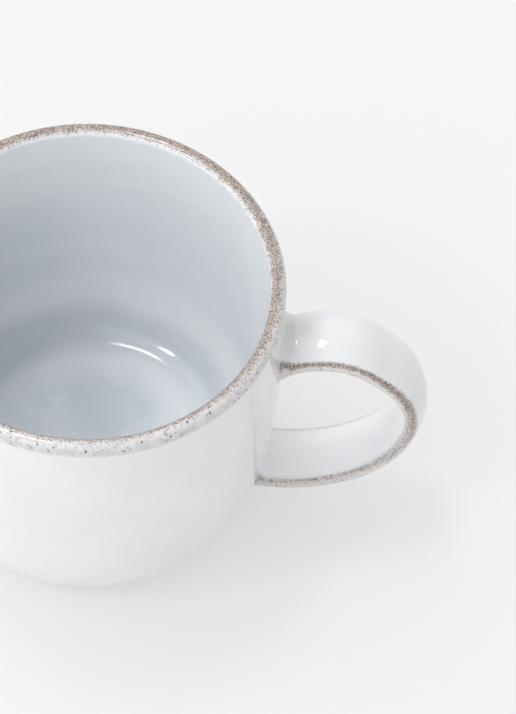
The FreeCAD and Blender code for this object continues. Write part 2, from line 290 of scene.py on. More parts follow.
def stand_off(distance, column):
    """How far a ball resting on the strap there is from touching the wall."""
    x, y, z = strap_point(distance, column, ROOT_BLEND)
    return wall_near(math.hypot(x, y), z)[0] - ROOT_BLEND


def contact(column, inside, outside):
    """Distance along the strap where the ball that rolls round the root touches strap and wall."""
    for _ in range(HALVINGS):
        middle = (inside + outside) / 2
        if stand_off(middle, column) < 0:
            inside = middle
        else:
            outside = middle
    return (inside + outside) / 2


def turned_point(turn, depth):
    """A point of the outer wall at a turn round the axis and a distance down the wall."""
    radius, height = wall_at(depth)
    return np.array((radius * math.cos(turn), radius * math.sin(turn), height))


def window_rim(middle, outer_side):
    """The window left in the turned wall for a root: turn and depth of each column's rim point.

    outer_side is -1 where the strap's outer face is uppermost and 1 where it is undermost.
    """
    first_row = round(middle / WALL_LENGTH * WALL_ROWS - EDGE_STEPS / 2)
    turns = 2 * math.pi / COLUMNS * (np.arange(FACE_STEPS + 1) - FACE_STEPS / 2)
    depths = WALL_LENGTH / WALL_ROWS * (first_row + np.arange(EDGE_STEPS + 1))
    if outer_side > 0:
        depths = depths[::-1]
    rim = [(turn, depths[0]) for turn in turns[:-1]]
    rim += [(turns[-1], depth) for depth in depths[:-1]]
    rim += [(turn, depths[-1]) for turn in turns[:0:-1]]
    rim += [(turns[0], depth) for depth in depths[:0:-1]]
    return rim


def root_collar(strap_end, inside, outer_side):
    """Surface from the strap's end round its root's blend to the window in the wall.

    Returns rows of points, and for each row of columns the strap's share, and
    the depth down the wall where it is on the wall.
    """
    count = len(SECTION)
    touch = [contact(column, inside, strap_end) for column in range(count)]
    balls = [strap_point(touch[k], k, ROOT_BLEND) for k in range(count)]
    depths = [wall_near(math.hypot(ball[0], ball[1]), ball[2])[1] for ball in balls]
    turns = [math.atan2(ball[1], ball[0]) for ball in balls]
    rim = window_rim((min(depths) + max(depths)) / 2, outer_side)
    rows, shares, levels = [], [], []
    for share in np.linspace(0, 1, COLLAR_ROWS + 1):
        rows.append([strap_point(strap_end + share * (touch[k] - strap_end), k) for k in range(count)])
        shares.append([1.0] * count)
        levels.append([None] * count)
    for share in np.linspace(0, 1, BLEND_ROWS + 1)[1:]:
        row = []
        for k in range(count):
            start = strap_point(touch[k], k) - balls[k]
            end = turned_point(turns[k], depths[k]) - balls[k]
            angle = math.acos(np.clip(start @ end / ROOT_BLEND ** 2, -1, 1))
            blend = (start * math.sin((1 - share) * angle) + end * math.sin(share * angle)) / math.sin(angle)
            row.append(balls[k] + blend)
        rows.append(row)
        shares.append([1.0 - 0.5 * share] * count)
        levels.append([None] * count)
    for step in np.linspace(0, 1, PATCH_ROWS + 1)[1:]:
        share = step ** PATCH_CROWDING
        level = [depths[k] + share * (rim[k][1] - depths[k]) for k in range(count)]
        turn = [turns[k] + share * (rim[k][0] - turns[k]) for k in range(count)]
        rows.append([turned_point(turn[k], level[k]) for k in range(count)])
        shares.append([max(0.0, 0.5 - 1.5 * share)] * count)
        levels.append(level)
    rim_turns, rim_depths = zip(*rim)
    window = ((min(rim_turns), max(rim_turns)), (min(rim_depths), max(rim_depths)))
    return np.array(rows), shares, levels, window


def chain(name, points, **values):
    """A scratch object whose points a tree reads, with a value or a direction at each point."""
    mesh = bpy.data.meshes.new(name)
    mesh.from_pydata([tuple(point) for point in points], [], [])
    for key, column in values.items():
        column = np.asarray(column, dtype=np.float32)
        kind, field = ("FLOAT", "value") if column.ndim == 1 else ("FLOAT_VECTOR", "vector")
        mesh.attributes.new(key, kind, "POINT").data.foreach_set(field, column.ravel())
    piece = bpy.data.objects.new(name, mesh)
    bpy.context.scene.collection.objects.link(piece)
    return piece


def node_in(tree, kind, inputs=(), **settings):
    """Add a node, set it, and link or fill its inputs by place or by name."""
    node = tree.nodes.new(kind)
    for key, value in settings.items():
        setattr(node, key, value)
    for key, value in dict(inputs).items():
        if isinstance(value, bpy.types.NodeSocket):
            tree.links.new(value, node.inputs[key])
        else:
            node.inputs[key].default_value = value
    return node


def carried_section():
    """A tree that carries a section along a path, as a potter's profile turns or a strap is pulled.

    Each path point has an "across" and a "lift" direction, which the section's
    own x and y follow.
    """
    tree = bpy.data.node_groups.new("carried section", "GeometryNodeTree")
    sockets = [("Section", "NodeSocketObject"), ("Path", "NodeSocketObject"),
               ("Section points", "NodeSocketInt"), ("Path points", "NodeSocketInt"),
               ("Seam", "NodeSocketFloat"), ("Finish", "NodeSocketMaterial")]
    tree.interface.new_socket("Geometry", in_out="INPUT", socket_type="NodeSocketGeometry")
    for name, kind in sockets:
        tree.interface.new_socket(name, in_out="INPUT", socket_type=kind)
    tree.interface.new_socket("Geometry", in_out="OUTPUT", socket_type="NodeSocketGeometry")
    given = tree.nodes.new("NodeGroupInput").outputs

    def math_node(operation, *values):
        return node_in(tree, "ShaderNodeMath", enumerate(values), operation=operation).outputs[0]

    def vector_node(operation, inputs):
        return node_in(tree, "ShaderNodeVectorMath", inputs, operation=operation).outputs[0]

    def sampled(source, field, index, kind):
        info = node_in(tree, "GeometryNodeObjectInfo", {"Object": given[source]})
        sample = node_in(tree, "GeometryNodeSampleIndex", {"Geometry": info.outputs["Geometry"]},
                         data_type=kind, domain="POINT")
        tree.links.new(field, sample.inputs["Value"])
        tree.links.new(index, sample.inputs["Index"])
        return sample.outputs["Value"]

    def named(key, kind):
        field = node_in(tree, "GeometryNodeInputNamedAttribute", {"Name": key}, data_type=kind)
        return field.outputs["Attribute"]

    grid = node_in(tree, "GeometryNodeMeshGrid", {"Size X": 1.0, "Size Y": 1.0,
                   "Vertices X": given["Path points"], "Vertices Y": given["Section points"]})
    index = tree.nodes.new("GeometryNodeInputIndex").outputs["Index"]
    place = math_node("DIVIDE", math_node("ADD", index, 0.5), given["Section points"])
    column = math_node("FLOOR", place)
    row = math_node("FLOOR", math_node("MULTIPLY", math_node("FRACT", place), given["Section points"]))
    position = tree.nodes.new("GeometryNodeInputPosition").outputs["Position"]
    section = sampled("Section", position, row, "FLOAT_VECTOR")
    parts = node_in(tree, "ShaderNodeSeparateXYZ", {0: section}).outputs
    origin = sampled("Path", position, column, "FLOAT_VECTOR")
    across = sampled("Path", named("across", "FLOAT_VECTOR"), column, "FLOAT_VECTOR")
    lift = sampled("Path", named("lift", "FLOAT_VECTOR"), column, "FLOAT_VECTOR")
    sideways = vector_node("SCALE", {0: across, "Scale": parts["X"]})
    upwards = vector_node("SCALE", {0: lift, "Scale": parts["Y"]})
    moved = vector_node("ADD", {0: vector_node("ADD", {0: sideways, 1: upwards}), 1: origin})
    placed = node_in(tree, "GeometryNodeSetPosition", {"Geometry": grid.outputs["Mesh"], "Position": moved})
    surface = placed.outputs["Geometry"]
    for key in ("lip_girth", "strap_girth"):
        value = sampled("Section", named(key, "FLOAT"), row, "FLOAT")
        stored = node_in(tree, "GeometryNodeStoreNamedAttribute", {"Geometry": surface, "Name": key},
                         data_type="FLOAT", domain="POINT")
        tree.links.new(value, stored.inputs["Value"])
        surface = stored.outputs["Geometry"]
    merged = node_in(tree, "GeometryNodeMergeByDistance", {"Geometry": surface, "Distance": given["Seam"]})
    whole = node_in(tree, "GeometryNodeRealizeInstances", {"Geometry": merged.outputs["Geometry"]})
    smooth = node_in(tree, "GeometryNodeSetShadeSmooth", {"Geometry": whole.outputs["Geometry"]})
    finished = node_in(tree, "GeometryNodeSetMaterial",
                       {"Geometry": smooth.outputs["Geometry"], "Material": given["Finish"]})
    result = tree.nodes.new("NodeGroupOutput")
    tree.links.new(finished.outputs["Geometry"], result.inputs["Geometry"])
    return tree


def carry(tree, name, section, path, finish):
    """Run the tree once and keep its result as a plain mesh object."""
    carrier = bpy.data.objects.new(name, bpy.data.meshes.new(name))
    bpy.context.scene.collection.objects.link(carrier)
    modifier = carrier.modifiers.new("carried section", "NODES")
    modifier.node_group = tree
    sockets = {item.name: item.identifier for item in tree.interface.items_tree if item.in_out == "INPUT"}
    sizes = {"Section": section, "Path": path, "Section points": len(section.data.vertices),
             "Path points": len(path.data.vertices), "Seam": SEAM, "Finish": finish}
    for key, value in sizes.items():
        modifier[sockets[key]] = value
    graph = bpy.context.evaluated_depsgraph_get()
    mesh = bpy.data.meshes.new_from_object(carrier.evaluated_get(graph))
    carrier.modifiers.clear()
    carrier.data = mesh
    bpy.data.objects.remove(section)
    bpy.data.objects.remove(path)
    return carrier


FAR_FROM_LIP = 1.0
FAR_FROM_STRAP = 1.0


def turned_body(tree, finish):
    """The cup's body, turned on its axis from its half section."""
    points, girth = cup_section()
    section = chain("body section", [(r, z, 0) for r, z in points], lip_girth=girth,
                    strap_girth=[FAR_FROM_STRAP] * len(points))
    turns = np.arange(COLUMNS + 1) * 2 * math.pi / COLUMNS
    across = [(math.cos(turn), math.sin(turn), 0) for turn in turns]
    path = chain("body turn", [(0, 0, 0)] * len(turns), across=across, lift=[(0, 0, 1)] * len(turns))
    return carry(tree, "turned body", section, path, finish)


def pulled_strap(tree, start, end, finish):
    """The handle's free length, between its two roots."""
    ring = list(range(len(SECTION))) + [0]
    section = chain("strap section", [(*SECTION[k], 0) for k in ring], strap_girth=GIRTH[ring],
                    lip_girth=[FAR_FROM_LIP] * len(ring))
    spots = [strap_at(distance) for distance in np.linspace(start, end, STRAP_ROWS + 1)]
    lift = [(math.cos(angle), 0, math.sin(angle)) for _, angle in spots]
    path = chain("strap path", [(x, 0, z) for (x, z), _ in spots], across=[(0, 1, 0)] * len(spots), lift=lift)
    return carry(tree, "pulled strap", section, path, finish)


def open_window(body, window):
    """Take the faces out of the turned wall where a root's collar goes."""
    (turn_low, turn_high), (depth_low, depth_high) = window
    top, bottom = wall_at(depth_low)[1], wall_at(depth_high)[1]
    work = bmesh.new()
    work.from_mesh(body.data)
    doomed = []
    for face in work.faces:
        x, y, z = face.calc_center_median()
        stands_off = wall_near(math.hypot(x, y), z)[0] if z < WALL_TOP else -WALL
        if turn_low < math.atan2(y, x) < turn_high and bottom < z < top and stands_off > -WALL / 2:
            doomed.append(face)
    bmesh.ops.delete(work, geom=doomed, context="FACES")
    work.to_mesh(body.data)
    work.free()


def collar_piece(name, collar, finish):
    """One root's collar as a mesh, with the same values at its points as the body and the strap."""
    rows, shares, levels, _ = collar
    count = len(SECTION)
    quads = []
    for here in range(0, count * (len(rows) - 1), count):
        for k in range(count):
            after = (k + 1) % count
            quads.append((here + k, here + after, here + count + after, here + count + k))
    mesh = bpy.data.meshes.new(name)
    mesh.from_pydata([tuple(point) for point in rows.reshape(-1, 3)], [], quads)
    lip_at_wall_top = LIP_ROUND * math.pi / 2 + (WALL - 2 * LIP_ROUND) / 2
    lip = [FAR_FROM_LIP if level is None else lip_at_wall_top + level for row in levels for level in row]
    values = {"lip_girth": lip, "strap_girth": np.tile(GIRTH, len(rows)), "strap_share": np.ravel(shares)}
    for key, column in values.items():
        column = np.asarray(column, dtype=np.float32)
        mesh.attributes.new(key, "FLOAT", "POINT").data.foreach_set("value", column)
    mesh.polygons.foreach_set("use_smooth", [True] * len(quads))
    mesh.materials.append(finish)
    piece = bpy.data.objects.new(name, mesh)
    bpy.context.scene.collection.objects.link(piece)
    return piece


def fill_share(piece, share):
    """Say how much of a whole piece is strap."""
    values = np.full(len(piece.data.vertices), share, dtype=np.float32)
    piece.data.attributes.new("strap_share", "FLOAT", "POINT").data.foreach_set("value", values)


def join_as_one(name, pieces):
    """Join pieces that share their rims into one closed skin that faces outwards."""
    whole = pieces[0]
    with bpy.context.temp_override(active_object=whole, object=whole, selected_objects=pieces,
                                   selected_editable_objects=pieces):
        bpy.ops.object.join()
    work = bmesh.new()
    work.from_mesh(whole.data)
    bmesh.ops.remove_doubles(work, verts=work.verts, dist=SEAM)
    bmesh.ops.recalc_face_normals(work, faces=work.faces)
    open_edges = [edge for edge in work.edges if len(edge.link_faces) != 2]
    if open_edges:
        raise RuntimeError("%s has %d open edges" % (name, len(open_edges)))
    work.to_mesh(whole.data)
    work.free()
    whole.name = whole.data.name = name
    return whole


def stoneware_cup(finish):
    """Make the whole cup: turned body, pulled strap and a collar at each root."""
    tree = carried_section()
    strap_start = CROWN_BEND * math.pi / 2
    strap_finish = STRAP_LENGTH - LOWER_ROOT_SHARE * (STRAP_LENGTH - GRIP_FINISH)
    upper = root_collar(strap_start, 0.0, -1)
    lower = root_collar(strap_finish, STRAP_LENGTH, 1)
    body = turned_body(tree, finish)
    fill_share(body, 0.0)
    open_window(body, upper[3])
    open_window(body, lower[3])
    strap = pulled_strap(tree, strap_start, strap_finish, finish)
    fill_share(strap, 1.0)
    collars = [collar_piece("upper collar", upper, finish), collar_piece("lower collar", lower, finish)]
    cup = join_as_one("glazed_cup", [body, strap] + collars)
    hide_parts("cup")
    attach(cup, "root")


# Colours of the fired surface
OUTSIDE_GLAZE = (0.765, 0.775, 0.795)
CLOUDED_GLAZE = (0.80, 0.805, 0.82)
INSIDE_GLAZE = (0.83, 0.85, 0.87)
POOLED_GLAZE_AND_SHADE = (0.62, 0.655, 0.70)
# Painted light: a whiter colour laid on the strap's inner face
STRAP_PAINTED_LIGHT = (0.90, 0.905, 0.92)
THIN_GLAZE = (0.585, 0.575, 0.58)
BREAKING_GLAZE = (0.56, 0.51, 0.48)
IRON_WASH = (0.34, 0.27, 0.235)
IRON = (0.085, 0.055, 0.045)
CLAY = (0.45, 0.36, 0.28)
CLAY_GRAIN = (0.55, 0.46, 0.37)

# Gloss, and the glaze's slight unevenness
GLAZE_ROUGHNESS = 0.09
IRON_ROUGHER = 0.06
CLAY_ROUGHNESS = 0.85
RIPPLE_DEPTH = 0.08 * MM

# Where the glaze runs thin, as distances over the lip and round the strap's edge
LIP_BREAK_AT = -0.38 * MM
LIP_BREAK_SWAY = 0.85 * MM
LIP_BREAK_REACH = 2.3 * MM
LIP_BREAK_WAVER = 0.9 * MM
GLAZE_LINE = 3.0 * MM
EDGE_BREAK_SWAY = 1.15 * MM
EDGE_BREAK_REACH = 0.9 * MM
EDGE_BREAK_WAVER = 0.5 * MM
EDGE_WIDENING = 1.6 * MM
EDGE_SIDE = 2.0 * MM
# Where the painted light on the strap's inner face begins, round its section
STRAP_PAINTED_LIGHT_STARTS = (-1.2 * MM, -2.4 * MM)
HANDLE_EYE = (40.5 * MM, 0.0, 27.0 * MM)
BLUSH_CENTRE = (35.6 * MM, 1.5 * MM, 46.6 * MM)
BLUSH_REACH = 4.0 * MM
BARE_FOOT = 0.4 * MM
BARE_FOOT_WAVER = 0.2 * MM

# How strongly the thin glaze and the iron show there
FAR_EDGE_SHARES = (0.12, 0.6)
EDGE_SIDE_SHARE = 0.5
BLUSH_SHARE = 0.45
LIP_THINNING = (0.55, 0.95)
IRON_WASH_SHARE = 0.6
IRON_SHARE = 0.75

# Specks of iron: cells to a metre and a speck's size in its cell, then the share of cells that have one
FINE_SPECKS = (4200.0, 0.46)
FINE_CROWD = 0.9
COARSE_SPECKS = (2700.0, 0.40)
COARSE_CROWD = 0.7
SMALL_SPOTS = (2300.0, 0.34)
SMALL_SPOT_CROWD = 0.42
SMALL_SPOT_SHARE = 0.6
LARGE_SPOTS = (1150.0, 0.27)
LARGE_SPOT_CROWD = 0.3
EDGE_SPRINKLE = 0.16

# Where the glaze pools inside, and where its colour is painted shade, as distances down from the lip's crest
# or across from the axis, and how much of the pooled colour each place has
POOL_WAVER = 5.0 * MM
THICKENS = (3.0 * MM, 20.0 * MM, 0.0, 0.16)
# Painted shade: the side away from the handle is darkened with the pooled colour, across from the axis and
# down from the lip
FAR_SIDE_SHADE_ACROSS = (-2.0 * MM, -26.0 * MM, 0.0, 0.55)
FAR_SIDE_SHADE_DOWN = (12.0 * MM, 30.0 * MM)
RING_STRETCH = (1.0, 1.0, 4.5)
RING_POOL = 0.22
RINGS_START = (4.0 * MM, 14.0 * MM)
PALE_RING = (43.5 * MM, 6.0 * MM)
PALE_RING_POOL = -0.28
CORNER_RING = (52.0 * MM, 6.5 * MM)
CORNER_POOL = 0.62
FLOOR_STARTS = (57.0 * MM, 66.0 * MM)
FLOOR_POOL = (0.3, 0.85)

# Grain of what is uneven, in waves to a metre
CLOUDS = 70.0
RIPPLES = 60.0
POOL_WAVES = 55.0
RING_WAVES = 26.0
FLOOR_BLOTCHES = 110.0
SPOT_PATCHES = 260.0
LIP_MOTTLE = 900.0
LIP_BREAK_WAVES = 420.0
EDGE_BREAK_WAVES = 520.0
BARE_FOOT_WAVES = 900.0
CLAY_WAVES = 1800.0


class Recipe:
    """Short ways to write one material's nodes."""

    def __init__(self, name):
        self.material = bpy.data.materials.new(name)
        self.material.use_nodes = True
        self.tree = self.material.node_tree
        self.shader = self.tree.nodes["Principled BSDF"]
        self.place = self.tree.nodes.new("ShaderNodeTexCoord").outputs["Object"]

    def node(self, kind, inputs=(), **settings):
        return node_in(self.tree, kind, inputs, **settings)

    def value(self, key):
        """A number kept at the mesh's points."""
        return self.node("ShaderNodeAttribute", attribute_name=key).outputs["Fac"]

    def math(self, operation, *values, clamp=False):
        return self.node("ShaderNodeMath", enumerate(values), operation=operation, use_clamp=clamp).outputs[0]

    def vector(self, operation, *values):
        return self.node("ShaderNodeVectorMath", enumerate(values), operation=operation).outputs[0]

    def ramp(self, value, start, end, low=0.0, high=1.0):
        """Ease from low to high while a value goes from start to end."""
        inputs = {"Value": value, "From Min": start, "From Max": end, "To Min": low, "To Max": high}
        return self.node("ShaderNodeMapRange", inputs, interpolation_type="SMOOTHSTEP").outputs["Result"]

    def mix(self, share, first, second):
        """Mix two colours, each given as numbers or as another node's output."""
        node = self.node("ShaderNodeMix", data_type="RGBA")
        for socket, given in zip((node.inputs[0], node.inputs[6], node.inputs[7]), (share, first, second)):
            if isinstance(given, bpy.types.NodeSocket):
                self.tree.links.new(given, socket)
            elif isinstance(given, tuple):
                socket.default_value = (*given, 1)
            else:
                socket.default_value = given
        return node.outputs[2]

    def noise(self, scale, detail=2.0, stretch=(1.0, 1.0, 1.0)):
        """Smooth noise from 0 to 1; a stretch over 1 packs it more closely along that axis."""
        inputs = {"Vector": self.vector("MULTIPLY", self.place, stretch), "Scale": scale, "Detail": detail}
        return self.node("ShaderNodeTexNoise", inputs).outputs["Fac"]

    def waver(self, waves, reach):
        """How far a line wanders, half its reach to either side."""
        return self.math("MULTIPLY_ADD", self.noise(waves), reach, -reach / 2)

    def patches(self, waves, low, high):
        """Soft-edged patches between a low and a high value."""
        return self.ramp(self.noise(waves), 0.35, 0.65, low, high)

    def dots(self, scale, size, density):
        """Round dots on a scattered grid, as many as the density asks for."""
        cells = self.node("ShaderNodeTexVoronoi", {"Vector": self.place, "Scale": scale}).outputs
        chance = self.node("ShaderNodeSeparateColor", {"Color": cells["Color"]}).outputs
        wanted = self.math("LESS_THAN", chance["Red"], density)
        reach = self.math("MULTIPLY_ADD", chance["Green"], 0.5 * size, 0.7 * size)
        body = self.ramp(self.math("SUBTRACT", cells["Distance"], reach), 0.06, -0.06)
        return self.math("MULTIPLY", body, wanted)

    def finish(self, colour, roughness, height, depth):
        normal = self.node("ShaderNodeBump", {"Height": height, "Distance": depth}).outputs["Normal"]
        self.tree.links.new(colour, self.shader.inputs["Base Color"])
        self.tree.links.new(roughness, self.shader.inputs["Roughness"])
        self.tree.links.new(normal, self.shader.inputs["Normal"])
        return self.material


def lip_break(recipe, sideways):
    """How far the glaze has run thin at the lip: 1 on its breaking line, 0 past its reach.

    The line sways from the lip's inner side at the front to its outer side at the back.
    """
    line = recipe.math("MULTIPLY_ADD", sideways, LIP_BREAK_SWAY / RIM_RADIUS, LIP_BREAK_AT)
    ragged = recipe.waver(LIP_BREAK_WAVES, LIP_BREAK_WAVER)
    away = recipe.math("ABSOLUTE", recipe.math("SUBTRACT", recipe.value("lip_girth"), line))
    return recipe.ramp(recipe.math("ADD", away, ragged), LIP_BREAK_REACH, 0.0)


def edge_break(recipe):
    """How far the glaze has run thin along the strap's upper corner, and over its whole side.

    The line widens round the grip, where neither corner looks up, and is faint on the far edge.
    """
    from_eye = recipe.vector("SUBTRACT", recipe.place, HANDLE_EYE)
    spoke = recipe.vector("NORMALIZE", recipe.vector("MULTIPLY", from_eye, (1, 0, 1)))
    lift = recipe.node("ShaderNodeSeparateXYZ", {0: spoke}).outputs["Z"]
    line = recipe.math("MULTIPLY", lift, EDGE_BREAK_SWAY)
    ragged = recipe.waver(EDGE_BREAK_WAVES, EDGE_BREAK_WAVER)
    away = recipe.math("ABSOLUTE", recipe.math("SUBTRACT", recipe.value("strap_girth"), line))
    steep = recipe.math("SUBTRACT", 1.0, recipe.math("ABSOLUTE", lift), clamp=True)
    reach = recipe.math("MULTIPLY_ADD", steep, EDGE_WIDENING, EDGE_BREAK_REACH)
    share = recipe.math("DIVIDE", recipe.math("ADD", away, ragged), reach)
    side = recipe.node("ShaderNodeSeparateXYZ", {0: recipe.place}).outputs["Y"]
    near = recipe.ramp(side, 3.0 * MM, -3.0 * MM)
    far_share = recipe.ramp(recipe.value("strap_girth"), 0.6 * MM, -0.6 * MM, *FAR_EDGE_SHARES)
    either = recipe.math("MULTIPLY_ADD", near, recipe.math("SUBTRACT", 1.0, far_share), far_share)
    there = recipe.math("MULTIPLY", recipe.ramp(recipe.value("strap_share"), 0.5, 0.7), either)
    strength = recipe.math("MULTIPLY", recipe.ramp(lift, -0.4, 0.75, 0.6, 1.0), there)
    off_side = recipe.math("ABSOLUTE", recipe.value("strap_girth"))
    whole_side = recipe.math("MULTIPLY", recipe.ramp(off_side, EDGE_SIDE, 0.5 * EDGE_SIDE), there)
    return recipe.math("MULTIPLY", recipe.ramp(share, 1.0, 0.0), strength), whole_side


def band(recipe, value, middle, reach):
    """1 in the middle of a band and 0 past its reach."""
    away = recipe.math("ABSOLUTE", recipe.math("SUBTRACT", value, middle))
    return recipe.ramp(away, reach, 0.0)


def pooling_and_shade(recipe, girth, across):
    """How thick the glaze lies inside the cup, with painted shade: thin under the lip, thick in the floor's
    corner.

    It lies a little thicker in the throwing rings. Down the side away from the handle the pooled colour is
    painted shade, not thicker glaze.
    """
    depth = recipe.math("SUBTRACT", recipe.waver(POOL_WAVES, POOL_WAVER), girth)
    # Painted shade: the pooled colour laid down the side away from the handle
    far_side_shade = recipe.ramp(across, *FAR_SIDE_SHADE_ACROSS)
    far_side_shade = recipe.math("MULTIPLY", recipe.ramp(depth, *FAR_SIDE_SHADE_DOWN), far_side_shade)
    rings = recipe.ramp(recipe.noise(RING_WAVES, stretch=RING_STRETCH), 0.3, 0.7, 0.0, RING_POOL)
    rings = recipe.math("MULTIPLY", recipe.ramp(depth, *RINGS_START), rings)
    thick = recipe.ramp(depth, *THICKENS)
    thick = recipe.math("ADD", thick, recipe.math("ADD", far_side_shade, rings))
    pale = recipe.math("MULTIPLY", band(recipe, depth, *PALE_RING), PALE_RING_POOL)
    corner = recipe.math("MULTIPLY", band(recipe, depth, *CORNER_RING), CORNER_POOL)
    blotches = recipe.patches(FLOOR_BLOTCHES, *FLOOR_POOL)
    floor = recipe.math("MULTIPLY", recipe.ramp(depth, *FLOOR_STARTS), blotches)
    wall = recipe.math("ADD", thick, pale)
    total = recipe.math("ADD", wall, recipe.math("ADD", corner, floor), clamp=True)
    return recipe.math("MULTIPLY", total, recipe.ramp(girth, 0.0, -2.0 * MM))


def iron_specks(recipe, broken, over_side, outside_lip):
    """Specks of iron: crowded where the glaze has broken, and scattered under the lip."""
    sprinkled = recipe.math("MULTIPLY", over_side, EDGE_SPRINKLE)
    crowded = recipe.math("MAXIMUM", recipe.ramp(broken, 0.05, 0.9, 0.0, FINE_CROWD), sprinkled)
    fine = recipe.dots(*FINE_SPECKS, crowded)
    coarse = recipe.dots(*COARSE_SPECKS, recipe.ramp(broken, 0.3, 1.0, 0.0, COARSE_CROWD))
    sparse = recipe.math("MULTIPLY", outside_lip, recipe.patches(SPOT_PATCHES, 0.25, 1.0))
    small = recipe.dots(*SMALL_SPOTS, recipe.math("MULTIPLY", sparse, SMALL_SPOT_CROWD))
    small = recipe.math("MULTIPLY", small, SMALL_SPOT_SHARE)
    large = recipe.dots(*LARGE_SPOTS, recipe.math("MULTIPLY", sparse, LARGE_SPOT_CROWD))
    specks = recipe.math("MAXIMUM", fine, coarse)
    return recipe.math("MAXIMUM", specks, recipe.math("MAXIMUM", small, large))


def fired_glaze():
    """Pale glossy glaze over iron-bearing stoneware, with a bare clay foot."""
    recipe = Recipe("fired glaze")
    parts = recipe.node("ShaderNodeSeparateXYZ", {0: recipe.place}).outputs
    girth = recipe.value("lip_girth")

    # Outside, inside with pooled glaze and painted shade down the side away from the handle, and painted
    # light on the strap's inner face
    colour = recipe.mix(recipe.ramp(recipe.noise(CLOUDS), 0.35, 0.7), OUTSIDE_GLAZE, CLOUDED_GLAZE)
    colour = recipe.mix(recipe.ramp(girth, 0.0, -3.0 * MM), colour, INSIDE_GLAZE)
    colour = recipe.mix(pooling_and_shade(recipe, girth, parts["X"]), colour, POOLED_GLAZE_AND_SHADE)
    # Painted light: the strap's inner face is lightened
    strap_painted_light = recipe.ramp(recipe.value("strap_girth"), *STRAP_PAINTED_LIGHT_STARTS)
    strap_painted_light = recipe.math("MULTIPLY", strap_painted_light, recipe.ramp(recipe.value("strap_share"), 0.4, 0.9))
    colour = recipe.mix(strap_painted_light, colour, STRAP_PAINTED_LIGHT)

    # Thin glaze round the lip, on the strap's sides and over the upper root
    near_lip = recipe.ramp(girth, 1.15 * GLAZE_LINE, 0.85 * GLAZE_LINE)
    outside_lip = recipe.math("MULTIPLY", near_lip, recipe.ramp(girth, -1.2 * MM, 0.0))
    thin = recipe.patches(LIP_MOTTLE, *LIP_THINNING)
    colour = recipe.mix(recipe.math("MULTIPLY", outside_lip, thin), colour, THIN_GLAZE)
    at_edge, over_side = edge_break(recipe)
    colour = recipe.mix(recipe.math("MULTIPLY", over_side, EDGE_SIDE_SHARE), colour, BREAKING_GLAZE)
    off_blush = recipe.node("ShaderNodeVectorMath", {0: recipe.place, 1: BLUSH_CENTRE}, operation="DISTANCE")
    blush = recipe.ramp(off_blush.outputs["Value"], BLUSH_REACH, 0.0, 0.0, BLUSH_SHARE)
    colour = recipe.mix(blush, colour, BREAKING_GLAZE)

    # Iron showing through where the glaze breaks
    broken = recipe.math("MAXIMUM", lip_break(recipe, parts["Y"]), at_edge)
    colour = recipe.mix(recipe.ramp(broken, 0.2, 0.8), colour, BREAKING_GLAZE)
    colour = recipe.mix(recipe.ramp(broken, 0.6, 1.0, 0.0, IRON_WASH_SHARE), colour, IRON_WASH)
    iron = iron_specks(recipe, broken, over_side, outside_lip)
    colour = recipe.mix(recipe.math("MULTIPLY", iron, IRON_SHARE), colour, IRON)

    # Bare clay under the foot
    foot_edge = recipe.math("MULTIPLY_ADD", recipe.noise(BARE_FOOT_WAVES), BARE_FOOT_WAVER, BARE_FOOT)
    bare = recipe.math("LESS_THAN", parts["Z"], foot_edge)
    colour = recipe.mix(bare, colour, recipe.mix(recipe.noise(CLAY_WAVES, 4.0), CLAY, CLAY_GRAIN))
    roughness = recipe.math("MULTIPLY_ADD", iron, IRON_ROUGHER, GLAZE_ROUGHNESS)
    roughness = recipe.math("MAXIMUM", roughness, recipe.math("MULTIPLY", bare, CLAY_ROUGHNESS))
    return recipe.finish(colour, roughness, recipe.noise(RIPPLES, 1.0), RIPPLE_DEPTH)


# The board: the eye sees its plain white by a share, and the rest is lit and keeps the cup's shadow
BOARD_COLOURS = ((0.82, 0.82, 0.825), (0.84, 0.84, 0.84))
BOARD_WHITE = (0.85, 0.85, 0.852)
BOARD_SHARE = 0.58
BOARD_GAP = 0.02 * MM
BOARD_REACH = 3.0


def pale_board():
    """The matt board that the cup stands on."""
    recipe = Recipe("pale board")
    colour = recipe.mix(recipe.noise(6.0), *BOARD_COLOURS)
    roughness = recipe.math("MULTIPLY_ADD", recipe.noise(300.0), 0.1, 0.8)
    recipe.finish(colour, roughness, recipe.noise(900.0), 0.01 * MM)
    rays = recipe.node("ShaderNodeLightPath").outputs
    seen = recipe.math("MAXIMUM", rays["Is Camera Ray"], rays["Is Glossy Ray"])
    white = recipe.node("ShaderNodeEmission", {"Color": (*BOARD_WHITE, 1), "Strength": 1.0}).outputs[0]
    shown = recipe.node("ShaderNodeMixShader", {0: recipe.math("MULTIPLY", seen, BOARD_SHARE), 2: white})
    recipe.tree.links.new(recipe.shader.outputs[0], shown.inputs[1])
    recipe.tree.links.new(shown.outputs[0], recipe.tree.nodes["Material Output"].inputs["Surface"])
    return recipe.material


def lay_floor():
    """A pale floor, a hair under the cup's foot."""
    mesh = bpy.data.meshes.new("floor")
    corners = [(-1, -1), (1, -1), (1, 1), (-1, 1)]
    mesh.from_pydata([(x * BOARD_REACH, y * BOARD_REACH, -BOARD_GAP) for x, y in corners], [], [(0, 1, 2, 3)])
    mesh.materials.append(pale_board())
    floor = bpy.data.objects.new("floor", mesh)
    bpy.context.scene.collection.objects.link(floor)


PANEL_DISTANCE = 1.1


